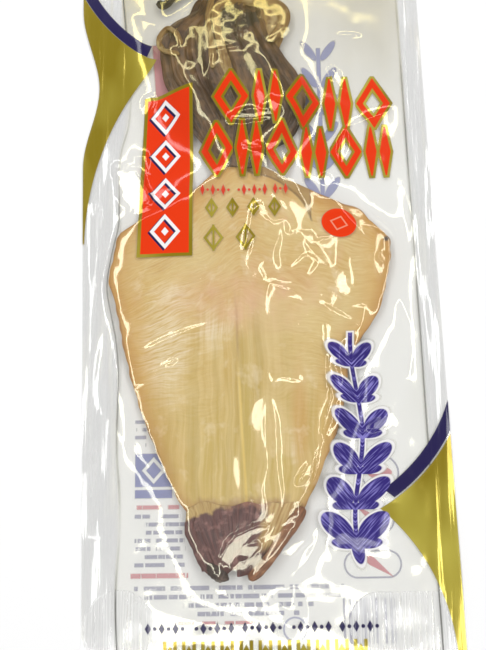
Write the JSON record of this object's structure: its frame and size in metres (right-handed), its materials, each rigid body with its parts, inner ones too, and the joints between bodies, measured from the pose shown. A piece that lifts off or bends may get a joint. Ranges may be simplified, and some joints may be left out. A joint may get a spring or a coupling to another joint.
{
  "type": "dried squid in a clear pouch",
  "caption": "Flat sealed clear pouch with an opened whole dried squid inside, arms at the top and tail folded at the foot.",
  "frame": {"origin": "middle of the flat back, on the surface that the pack lies on", "axes": "+X to the right of the printed front, +Y towards the end with the arms, +Z out of the front"},
  "size_m": [0.218, 0.45, 0.02],
  "materials": {
    "film": "clear glossy film, wrinkled",
    "print": "glossy ink on film",
    "flesh": "dried, fibrous, slightly translucent",
    "skin": "dried, wrinkled, semi-gloss"
  },
  "bodies": {
    "root": {"squid_pack": "film"}
  },
  "joints": []
}
